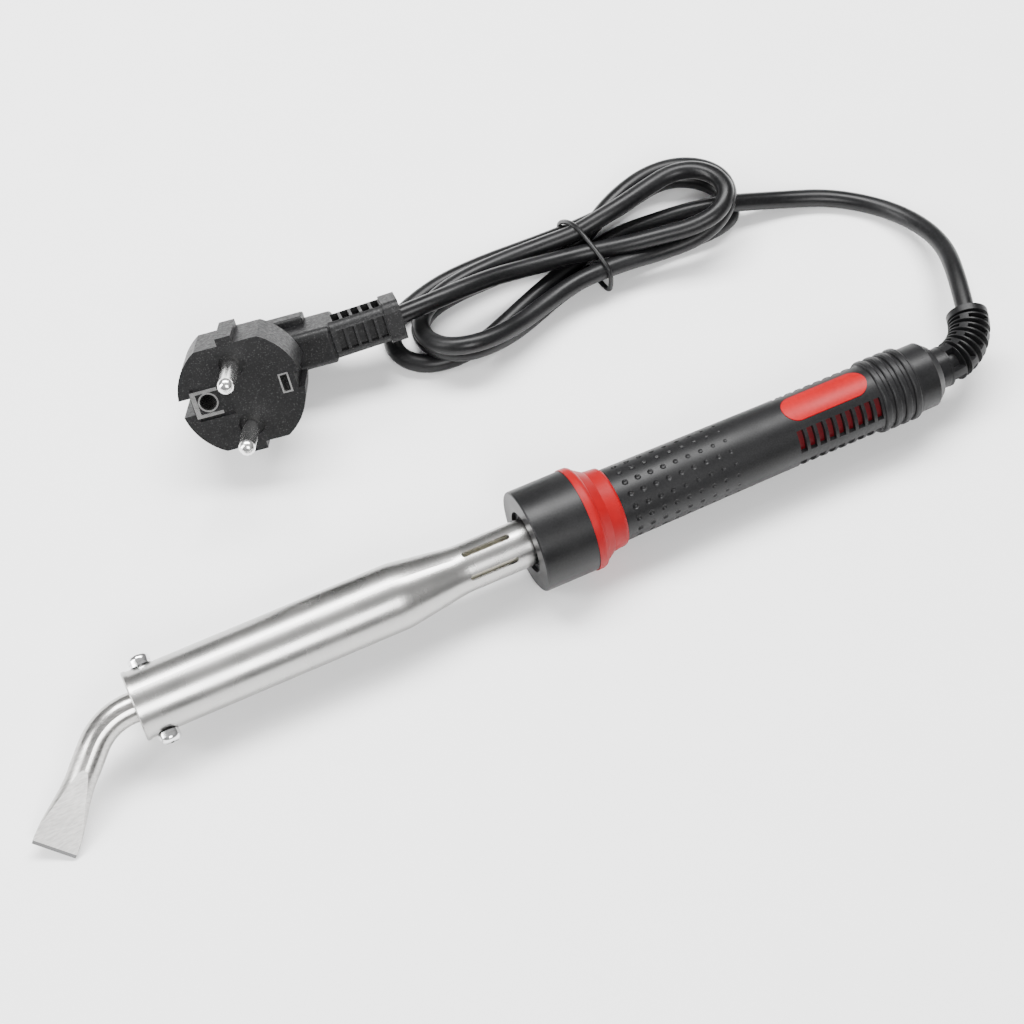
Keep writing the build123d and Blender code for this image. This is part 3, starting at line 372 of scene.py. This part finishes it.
def core_finish(colour, painted_shade):
    """Red plastic, with painted shade where it runs in under the grip's windows."""
    made = Finish("red_plastic", colour, 0.34, specular=0.15)
    apart = made.node("ShaderNodeSeparateXYZ")
    made.link(made.coordinates, apart.inputs[0])
    # painted shade: the core is darker behind this point, where the grip shades it
    behind = made.math("GREATER_THAN", apart.outputs["X"], at((CORE_SHADED_FROM, 0.0, 0.0)).x)
    clouds = made.ramp(made.noise(260.0, 4.0), [(0.3, tint(colour, 0.86)), (0.7, colour)])
    made.link(made.mix_colour(behind, clouds, painted_shade), made.shader.inputs["Base Color"])
    made.roughness_between(made.noise(90.0, 3.0), 0.38, 0.5)
    made.bump([(made.noise(1800.0, 2.0), 6e-6)])
    return made.material


def tip_finish(colour, dark):
    """Plated metal, ground along the blade and dark along its end edge."""
    made = Finish("tip_plating", colour, 0.26, metallic=1.0)
    end_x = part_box("tip")[0].x
    lines = made.noise(1.0, 3.0, (500.0, 2600.0, 500.0))
    clouds = made.noise(160.0, 4.0)
    apart = made.node("ShaderNodeSeparateXYZ")
    made.link(made.coordinates, apart.inputs[0])
    blade = made.range(apart.outputs["X"], 1.0, 0.0, *(end_x + along for along in TIP_BLADE_END))
    ground = made.ramp(lines, [(0.3, tint(colour, 0.7)), (0.65, colour)])
    side = Vector((0.0, -math.cos(TIP_TURN), math.sin(TIP_TURN)))
    ahead = Vector((-math.cos(TIP_BEND), 0.0, 0.0)) + side * math.sin(TIP_BEND)
    reach = made.node("ShaderNodeVectorMath", operation="DOT_PRODUCT")
    reach.inputs[1].default_value = ahead
    made.link(made.coordinates, reach.inputs[0])
    end = max(vertex.co.dot(ahead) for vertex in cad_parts["tip"].data.vertices)
    edge = made.math("GREATER_THAN", reach.outputs["Value"], end - TIP_EDGE)
    made.link(made.mix_colour(edge, ground, dark), made.shader.inputs["Base Color"])
    rough = made.math("MULTIPLY_ADD", blade, 0.12, made.range(clouds, 0.2, 0.32))
    made.link(rough, made.shader.inputs["Roughness"])
    made.bump([(lines, 3e-6), (clouds, 8e-6)])
    return made.material


def grip_finish(colour, light):
    """Soft black rubber with a fine grain and faint long waves."""
    made = Finish("grip_rubber", colour, 0.4, specular=0.22)
    fine = made.noise(2600.0, 2.0)
    clouds = made.noise(70.0, 3.0)
    made.colour_between(fine, colour, light)
    made.roughness_between(clouds, 0.36, 0.48)
    made.bump([(fine, 8e-6), (made.noise(300.0, 2.0), 1.5e-5)])
    return made.material


def socket_id(tree, name):
    """The identifier of a tree's input."""
    for item in tree.interface.items_tree:
        if item.name == name and item.in_out == "INPUT":
            return item.identifier
    raise RuntimeError("no input named " + name)


class IronSettings(bpy.types.PropertyGroup):
    """Sizes and colours that a user would change."""

    cord_diameter: bpy.props.FloatProperty(
        name="Cord diameter", description="Thickness of the mains cord", default=0.0056, unit="LENGTH",
        precision=4)
    cord_length: bpy.props.FloatProperty(
        name="Cord length", description="From the strain relief to the plug", default=0.971, unit="LENGTH")
    tie_thickness: bpy.props.FloatProperty(
        name="Tie thickness", description="Thickness of the wire round the hank", default=0.0015, unit="LENGTH",
        precision=4)
    dimple_columns: bpy.props.IntProperty(
        name="Dimple columns", description="Rings of dimples along the grip", default=9)
    dimple_rows: bpy.props.IntProperty(
        name="Dimple rows", description="Dimples round the grip", default=18)
    dimple_pitch: bpy.props.FloatProperty(
        name="Dimple pitch", description="Between rings of dimples", default=0.00396, unit="LENGTH", precision=4)
    dimple_start: bpy.props.FloatProperty(
        name="First dimples", description="First ring, behind the collar's face", default=0.0307, unit="LENGTH",
        precision=4)
    dimple_width: bpy.props.FloatProperty(
        name="Dimple width", description="Across one dimple", default=0.0019, unit="LENGTH", precision=4)
    dimple_depth: bpy.props.FloatProperty(
        name="Dimple depth", description="Depth of one dimple", default=0.00045, unit="LENGTH", precision=5)
    steel: bpy.props.FloatVectorProperty(
        name="Barrel steel", description="Colour of the barrel", default=(0.40, 0.395, 0.385), subtype="COLOR")
    plating: bpy.props.FloatVectorProperty(
        name="Tip plating", description="Colour of the tip", default=(0.50, 0.49, 0.475), subtype="COLOR")
    black: bpy.props.FloatVectorProperty(
        name="Black plastic", description="Collar, grip and cap", default=(0.0035, 0.0035, 0.0038),
        subtype="COLOR")
    red: bpy.props.FloatVectorProperty(
        name="Red plastic", description="Flared ring and badge", default=(0.26, 0.0010, 0.0035), subtype="COLOR")
    cord_black: bpy.props.FloatVectorProperty(
        name="Cord", description="Colour of the cord", default=(0.0022, 0.0022, 0.0025), subtype="COLOR")
    floor: bpy.props.FloatVectorProperty(
        name="Floor", description="Colour of the floor", default=(0.93, 0.93, 0.93), subtype="COLOR")


def settings():
    """The scene's sizes and colours."""
    return bpy.context.scene.iron


class IRON_OT_stage(bpy.types.Operator):
    """Make the floor, the lights and the camera"""

    bl_idname = "iron.stage"
    bl_label = "Stage"
    bl_options = {"REGISTER"}

    def execute(self, context):
        floor_mesh = bpy.data.meshes.new("floor")
        corners = [(x * FLOOR_REACH, y * FLOOR_REACH, 0.0) for x, y in ((-1, -1), (1, -1), (1, 1), (-1, 1))]
        floor_mesh.from_pydata(corners, [], [(0, 1, 2, 3)])
        floor = new_object("floor", floor_mesh)
        colour = tuple(settings().floor)
        made = Finish("floor_paper", colour, 0.75, specular=0.2)
        made.colour_between(made.noise(40.0, 3.0), tint(colour, 0.985), colour)
        dress(floor, made.material)

        self.sky(context.scene)
        for name, place, size, power in LAMPS:
            self.lamp(name, place, size, power)

        data = bpy.data.cameras.new("camera")
        data.lens = CAMERA_LENS
        data.sensor_width = CAMERA_SENSOR
        data.clip_start = CAMERA_NEAR
        camera = new_object("camera", data)
        axes = Matrix((CAMERA_RIGHT, CAMERA_UP, CAMERA_BACK)).transposed().to_4x4()
        camera.matrix_world = Matrix.Translation(at(CAMERA_PLACE)) @ axes
        context.scene.camera = camera
        return {"FINISHED"}

    def lamp(self, name, place, size, power):
        """A rectangular lamp that points at the middle of the iron."""
        data = bpy.data.lights.new(name, "AREA")
        data.shape = "RECTANGLE"
        data.size, data.size_y = size
        data.energy = power
        lamp = new_object(name, data)
        lamp.location = at(place)
        lamp.rotation_euler = (at(LAMPS_TARGET) - lamp.location).to_track_quat("-Z", "Y").to_euler()

    def sky(self, scene):
        """A pale studio overhead that darkens towards the floor's edge."""
        world = bpy.data.worlds.new("studio")
        scene.world = world
        world.use_nodes = True
        nodes, link = world.node_tree.nodes, world.node_tree.links.new
        up = nodes.new("ShaderNodeSeparateXYZ")
        link(nodes.new("ShaderNodeTexCoord").outputs["Generated"], up.inputs[0])
        ramp = nodes.new("ShaderNodeValToRGB")
        link(up.outputs["Z"], ramp.inputs["Fac"])
        for element, (position, grey) in zip(ramp.color_ramp.elements, SKY_STOPS):
            element.position = position
            element.color = (grey, grey, grey, 1.0)
        background = nodes["Background"]
        link(ramp.outputs["Color"], background.inputs["Color"])
        background.inputs["Strength"].default_value = SKY_STRENGTH


class IRON_OT_cord(bpy.types.Operator):
    """Make the cord, with its folded hank, and the tie round it"""

    bl_idname = "iron.cord"
    bl_label = "Cord"
    bl_options = {"REGISTER"}

    def execute(self, context):
        sizes = settings()
        points = [CORD_EXIT, *CORD_FREE, *CORD_HANK, *CORD_TO_PLUG]
        curve = bpy.data.curves.new("cord", "CURVE")
        curve.dimensions = "3D"
        spline = curve.splines.new("NURBS")
        spline.points.add(len(points) - 1)
        for point, place in zip(spline.points, points):
            point.co = (*at(place), 1.0)
        spline.order_u = 3
        spline.use_endpoint_u = True
        spline.resolution_u = 8
        curve.bevel_depth = sizes.cord_diameter / 2
        curve.bevel_resolution = 5
        curve.use_fill_caps = True
        cord = new_object("cord", curve)
        rubber = moulded(
            "cord_pvc", tuple(sizes.cord_black), LIT_BLACK, (0.30, 0.42), grain=1500.0, depth=6e-6, waves=2e-5)
        dress(cord, rubber)
        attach(cord, ROOT)
        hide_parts("cord_lead", "cord_plug_run", "cord_hank")

        tie = self.tie(sizes.tie_thickness)
        dress(tie, rubber)
        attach(tie, ROOT)
        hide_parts("cord_tie")
        dress_node("cord_tail", rubber)
        return {"FINISHED"}

    def tie(self, thickness):
        """The wire round the hank, as a closed tube."""
        across = Vector((-math.sin(TIE_TURN), math.cos(TIE_TURN), 0.0))
        start = at((*TIE_PLACE, 0.0))
        curve = bpy.data.curves.new("tie_line", "CURVE")
        curve.dimensions = "3D"
        spline = curve.splines.new("NURBS")
        spline.points.add(len(TIE_LOOP) - 1)
        for point, (side, up) in zip(spline.points, TIE_LOOP):
            point.co = (*(start + across * side + Vector((0, 0, up))), 1.0)
        spline.order_u = 3
        spline.use_cyclic_u = True
        spline.resolution_u = 10
        curve.bevel_depth = thickness / 2
        curve.bevel_resolution = 4
        tie = plain_mesh(new_object("tie_line", curve), "cord_tie_wire")
        smooth(tie, 60.0)
        return tie


def dimple_tree():
    """Cuts rings of dimples into the geometry it is given."""
    tree = bpy.data.node_groups.new("grip_dimples", "GeometryNodeTree")
    face = tree.interface
    face.new_socket("Geometry", in_out="INPUT", socket_type="NodeSocketGeometry")
    for name, kind in (
        ("Columns", "NodeSocketInt"), ("Rows", "NodeSocketInt"), ("Pitch", "NodeSocketFloat"),
        ("Ball Radius", "NodeSocketFloat"), ("Ring Radius", "NodeSocketFloat"), ("Start", "NodeSocketVector"),
        ("Material", "NodeSocketMaterial"),
    ):
        face.new_socket(name, in_out="INPUT", socket_type=kind)
    face.new_socket("Geometry", in_out="OUTPUT", socket_type="NodeSocketGeometry")

    def node(kind, **values):
        made = tree.nodes.new(kind)
        for name, value in values.items():
            setattr(made, name, value)
        return made

    given = node("NodeGroupInput").outputs
    link = tree.links.new
    line = node("GeometryNodeMeshLine")
    link(given["Columns"], line.inputs["Count"])
    link(given["Start"], line.inputs["Start Location"])
    step = node("ShaderNodeCombineXYZ")
    link(given["Pitch"], step.inputs["X"])
    link(step.outputs[0], line.inputs["Offset"])
    ring = node("GeometryNodeMeshCircle")
    link(given["Rows"], ring.inputs["Vertices"])
    link(given["Ring Radius"], ring.inputs["Radius"])
    rings = node("GeometryNodeInstanceOnPoints")
    link(line.outputs[0], rings.inputs["Points"])
    link(ring.outputs[0], rings.inputs["Instance"])
    rings.inputs["Rotation"].default_value = (0.0, math.radians(90.0), 0.0)
    real_rings = node("GeometryNodeRealizeInstances")
    link(rings.outputs[0], real_rings.inputs[0])
    ball = node("GeometryNodeMeshIcoSphere")
    ball.inputs["Subdivisions"].default_value = 3
    link(given["Ball Radius"], ball.inputs["Radius"])
    balls = node("GeometryNodeInstanceOnPoints")
    link(real_rings.outputs[0], balls.inputs["Points"])
    link(ball.outputs[0], balls.inputs["Instance"])
    real_balls = node("GeometryNodeRealizeInstances")
    link(balls.outputs[0], real_balls.inputs[0])
    cut = node("GeometryNodeMeshBoolean", operation="DIFFERENCE", solver="EXACT")
    link(given["Geometry"], cut.inputs["Mesh 1"])
    link(real_balls.outputs[0], cut.inputs["Mesh 2"])
    whole = node("GeometryNodeRealizeInstances")
    link(cut.outputs[0], whole.inputs[0])
    paint = node("GeometryNodeSetMaterial")
    link(whole.outputs[0], paint.inputs["Geometry"])
    link(given["Material"], paint.inputs["Material"])
    link(paint.outputs[0], node("NodeGroupOutput").inputs[0])
    return tree


class IRON_OT_grip(bpy.types.Operator):
    """Make the grip, with its rings of dimples"""

    bl_idname = "iron.grip"
    bl_label = "Grip"
    bl_options = {"REGISTER"}

    def execute(self, context):
        sizes = settings()
        rubber = grip_finish(tuple(sizes.black), LIT_BLACK)
        blank = merged_copy("handle_grip", "grip_blank")
        tree = dimple_tree()
        modifier = blank.modifiers.new("dimples", "NODES")
        modifier.node_group = tree
        half = sizes.dimple_width / 2
        ball = (half * half + sizes.dimple_depth ** 2) / (2 * sizes.dimple_depth)
        values = {
            "Columns": sizes.dimple_columns,
            "Rows": sizes.dimple_rows,
            "Pitch": sizes.dimple_pitch,
            "Ball Radius": ball,
            "Ring Radius": GRIP_FRONT_RADIUS + ball - sizes.dimple_depth,
            "Start": at((sizes.dimple_start, 0.0, AXIS_HEIGHT)),
            "Material": rubber,
        }
        for name, value in values.items():
            modifier[socket_id(tree, name)] = value
        grip = plain_mesh(blank, "grip_sleeve")
        smooth(grip, 30.0)
        self.round_normals(grip)
        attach(grip, ROOT)
        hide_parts("handle_grip")
        return {"FINISHED"}

    def round_normals(self, grip):
        """Shade the sleeve between the dimples as the round surface that it is."""
        mesh = grip.data
        axis = at((0.0, 0.0, AXIS_HEIGHT))
        normals = [(0.0, 0.0, 0.0)] * len(mesh.loops)
        for face in mesh.polygons:
            out = face.center - axis
            out.x = 0.0
            if face.normal.dot(out.normalized()) < GRIP_ROUND_FROM:
                continue
            for loop in face.loop_indices:
                away = mesh.vertices[mesh.loops[loop].vertex_index].co - axis
                away.x = 0.0
                normals[loop] = tuple(away.normalized())
        mesh.normals_split_custom_set(normals)


class IRON_OT_handle(bpy.types.Operator):
    """Give the collar, the flared ring, the cap and the badge their finishes"""

    bl_idname = "iron.handle"
    bl_label = "Handle"
    bl_options = {"REGISTER"}

    def execute(self, context):
        sizes = settings()
        black = tuple(sizes.black)
        collar = moulded("collar_plastic", black, LIT_BLACK, (0.34, 0.46), grain=1800.0)
        red = tuple(sizes.red)
        dress_node("front_collar", collar)
        dress_node("rear_cap", collar)
        dress_node("handle_core", core_finish(red, SHADED_RED))
        badge = moulded("label_red", red, tint(red, 1.25), (0.34, 0.44), grain=900.0, depth=5e-6, specular=0.15)
        dress_node("label_plate", badge)
        return {"FINISHED"}


class IRON_OT_metal(bpy.types.Operator):
    """Give the barrel, the tip, the screws and the heater their finishes"""

    bl_idname = "iron.metal"
    bl_label = "Metal parts"
    bl_options = {"REGISTER"}

    def execute(self, context):
        sizes = settings()
        steel = brushed(
            "barrel_steel", tuple(sizes.steel), tint(sizes.steel, 0.93), (0.24, 0.30), (5200.0, 45.0, 45.0), 7e-7)
        plating = tip_finish(tuple(sizes.plating), (0.12, 0.12, 0.12))
        bright = brushed(
            "screw_steel", (0.82, 0.82, 0.82), (0.7, 0.7, 0.7), (0.12, 0.2), (1500.0, 1500.0, 1500.0), 4e-7)
        dull = brushed("plain_steel", (0.6, 0.6, 0.6), (0.5, 0.5, 0.5), (0.3, 0.4), (300.0, 300.0, 900.0))
        for node in ("barrel", "nose_bush"):
            dress_node(node, steel)
        dress_node("tip", plating)
        for node in ("upper_clamp_screw", "lower_clamp_screw", "upper_spring_washer", "lower_spring_washer"):
            dress_node(node, bright)
        for node in ("core_tube", "mounting_plate", "plate_screws", "terminal_screws", "clamp_bar_screws",
                     "heater_leads", "heater_winding"):
            dress_node(node, dull)
        return {"FINISHED"}


class IRON_OT_inside(bpy.types.Operator):
    """Give the pieces inside the iron their finishes"""

    bl_idname = "iron.inside"
    bl_label = "Inside"
    bl_options = {"REGISTER"}

    def execute(self, context):
        mica = moulded("mica_sheet", (0.55, 0.45, 0.28), (0.7, 0.6, 0.42), (0.4, 0.6), 700.0, 1e-5)
        ceramic = moulded("ceramic", (0.82, 0.79, 0.7), (0.9, 0.88, 0.82), (0.5, 0.7), 1200.0, 1e-5)
        sleeve = moulded("glass_sleeve", (0.75, 0.7, 0.55), (0.85, 0.82, 0.72), (0.6, 0.8), 1500.0, 3e-5)
        white = moulded("white_block", (0.8, 0.8, 0.77), (0.86, 0.86, 0.83), (0.35, 0.5), 1200.0, 5e-6)
        for nodes, material in (
            (("mica_lining", "mica_wrap"), mica),
            (("ceramic_bush",), ceramic),
            (("lead_sleeves",), sleeve),
            (("cord_clamp", "terminal_block", "pin_carrier"), white),
        ):
            for node in nodes:
                dress_node(node, material)
        for node, colour in (
            ("live_core", (0.2, 0.07, 0.03)), ("neutral_core", (0.03, 0.12, 0.5)),
            ("earth_core", (0.2, 0.45, 0.05)), ("earth_lead", (0.2, 0.45, 0.05)),
        ):
            dress_node(node, moulded(node + "_pvc", colour, tint(colour, 1.3), (0.3, 0.45), 900.0, 5e-6))
        return {"FINISHED"}


class IRON_OT_relief(bpy.types.Operator):
    """Make the strain relief, a bent sleeve of rings with windows"""

    bl_idname = "iron.relief"
    bl_label = "Strain relief"
    bl_options = {"REGISTER"}

    def execute(self, context):
        black = tuple(settings().black)
        rubber = moulded("relief_pvc", black, LIT_BLACK, (0.34, 0.46), grain=1800.0, depth=8e-6)
        relief = new_object("relief_sleeve", self.sleeve())
        dress(relief, rubber)
        smooth(relief, 40.0)
        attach(relief, ROOT)
        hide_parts("strain_relief")
        return {"FINISHED"}

    def place(self, along, radius, turn):
        """A point of the sleeve, from its distance along the bent centre line."""
        arc = min(max(along / RELIEF_RADIUS, 0.0), RELIEF_ANGLE)
        rest = along - arc * RELIEF_RADIUS
        x = RELIEF_START_X + RELIEF_RADIUS * math.sin(arc) + rest * math.cos(arc)
        y = RELIEF_RADIUS * (1 - math.cos(arc)) + rest * math.sin(arc)
        side = radius * math.sin(turn + RELIEF_TURN)
        up = radius * math.cos(turn + RELIEF_TURN)
        return at((x - side * math.sin(arc), y + side * math.cos(arc), AXIS_HEIGHT + up))

    def sleeve(self):
        """A closed sleeve with ring grooves, windows between bridges and an end collar."""
        end = RELIEF_RADIUS * RELIEF_ANGLE + RELIEF_TAIL
        first = end - RELIEF_COLLAR - RELIEF_UNITS * RELIEF_UNIT
        starts = [first + RELIEF_UNIT * i for i in range(RELIEF_UNITS)]
        grooves = [(start + RELIEF_GROOVE[0], start + RELIEF_GROOVE[1]) for start in starts]
        grooves.append((end - RELIEF_COLLAR, end - RELIEF_COLLAR + RELIEF_LAST_GROOVE))
        windows = [RELIEF_MOUTH]
        windows += [(start + RELIEF_WINDOWS[0], start + RELIEF_WINDOWS[1]) for start in starts]
        wall = RELIEF_WALL
        rings = {0.0, end}
        for low, high in grooves + windows:
            rings.update((low - wall, low + wall, high - wall, high + wall))
        rings = sorted(ring for ring in rings if 0.0 <= ring <= end)
        turns = set()
        quarter = 2 * math.pi / RELIEF_BRIDGES
        edge = wall / RELIEF_OUTER
        for i in range(RELIEF_BRIDGES):
            middle = quarter * i
            turns.add(middle)
            for half in (RELIEF_BRIDGE / 2 - edge, RELIEF_BRIDGE / 2 + edge):
                turns.update((middle - half, middle + half))
            for step in range(1, RELIEF_STEPS):
                turns.add(middle + RELIEF_BRIDGE / 2 + (quarter - RELIEF_BRIDGE) * step / RELIEF_STEPS)
        turns = sorted(turns)

        def radius(along, turn):
            groove = any(low < along < high for low, high in grooves)
            off_bridge = abs((turn + quarter / 2) % quarter - quarter / 2) > RELIEF_BRIDGE / 2
            window = off_bridge and any(low < along < high for low, high in windows)
            return RELIEF_FLOOR if groove or window else RELIEF_OUTER

        loops = [[self.place(along, radius(along, turn), turn) for turn in turns] for along in rings]
        for along in reversed(rings):
            loops.append([self.place(along, RELIEF_BORE, turn) for turn in turns])
        count = len(turns)
        faces = []
        for i in range(len(loops)):
            below, above = i * count, (i + 1) % len(loops) * count
            for j in range(count):
                k = (j + 1) % count
                faces.append((below + j, below + k, above + k, above + j))
        mesh = bpy.data.meshes.new("relief_sleeve")
        mesh.from_pydata([point for loop in loops for point in loop], [], faces)
        work = bmesh.new()
        work.from_mesh(mesh)
        bmesh.ops.recalc_face_normals(work, faces=work.faces)
        work.to_mesh(mesh)
        work.free()
        return mesh


class IRON_OT_plug(bpy.types.Operator):
    """Give the plug and its metal their finishes"""

    bl_idname = "iron.plug"
    bl_label = "Plug"
    bl_options = {"REGISTER"}

    def execute(self, context):
        black = tuple(settings().black)
        body = glint_speckled("plug_pvc", black, PLUG_PAINTED_GLINTS)
        pins = brushed(
            "pin_plating", (0.88, 0.88, 0.87), (0.76, 0.76, 0.75), (0.16, 0.26), (900.0, 900.0, 900.0), 4e-7)
        dress_node("plug_body", body)
        for node in ("plug_pins", "earth_socket", "earth_clips"):
            dress_node(node, pins)
        return {"FINISHED"}


OPERATORS = (
    IRON_OT_stage, IRON_OT_cord, IRON_OT_metal, IRON_OT_handle, IRON_OT_grip, IRON_OT_relief, IRON_OT_inside,
    IRON_OT_plug,
)


class IRON_PT_panel(bpy.types.Panel):
    """Buttons for the iron's pieces and the sizes they use"""

    bl_idname = "IRON_PT_panel"
    bl_label = "Soldering Iron"
    bl_space_type = "VIEW_3D"
    bl_region_type = "UI"
    bl_category = "Iron"

    def draw(self, context):
        for operator in OPERATORS:
            self.layout.operator(operator.bl_idname)
        for name in IronSettings.__annotations__:
            self.layout.prop(context.scene.iron, name)


CLASSES = (IronSettings, *OPERATORS, IRON_PT_panel)


def register():
    for item in CLASSES:
        bpy.utils.register_class(item)
    bpy.types.Scene.iron = bpy.props.PointerProperty(type=IronSettings)


def unregister():
    del bpy.types.Scene.iron
    for item in reversed(CLASSES):
        bpy.utils.unregister_class(item)


def main():
    register()
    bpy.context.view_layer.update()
    for operator in OPERATORS:
        group, name = operator.bl_idname.split(".")
        getattr(getattr(bpy.ops, group), name)()
    bpy.context.view_layer.update()


if __name__ == "__main__":
    main()
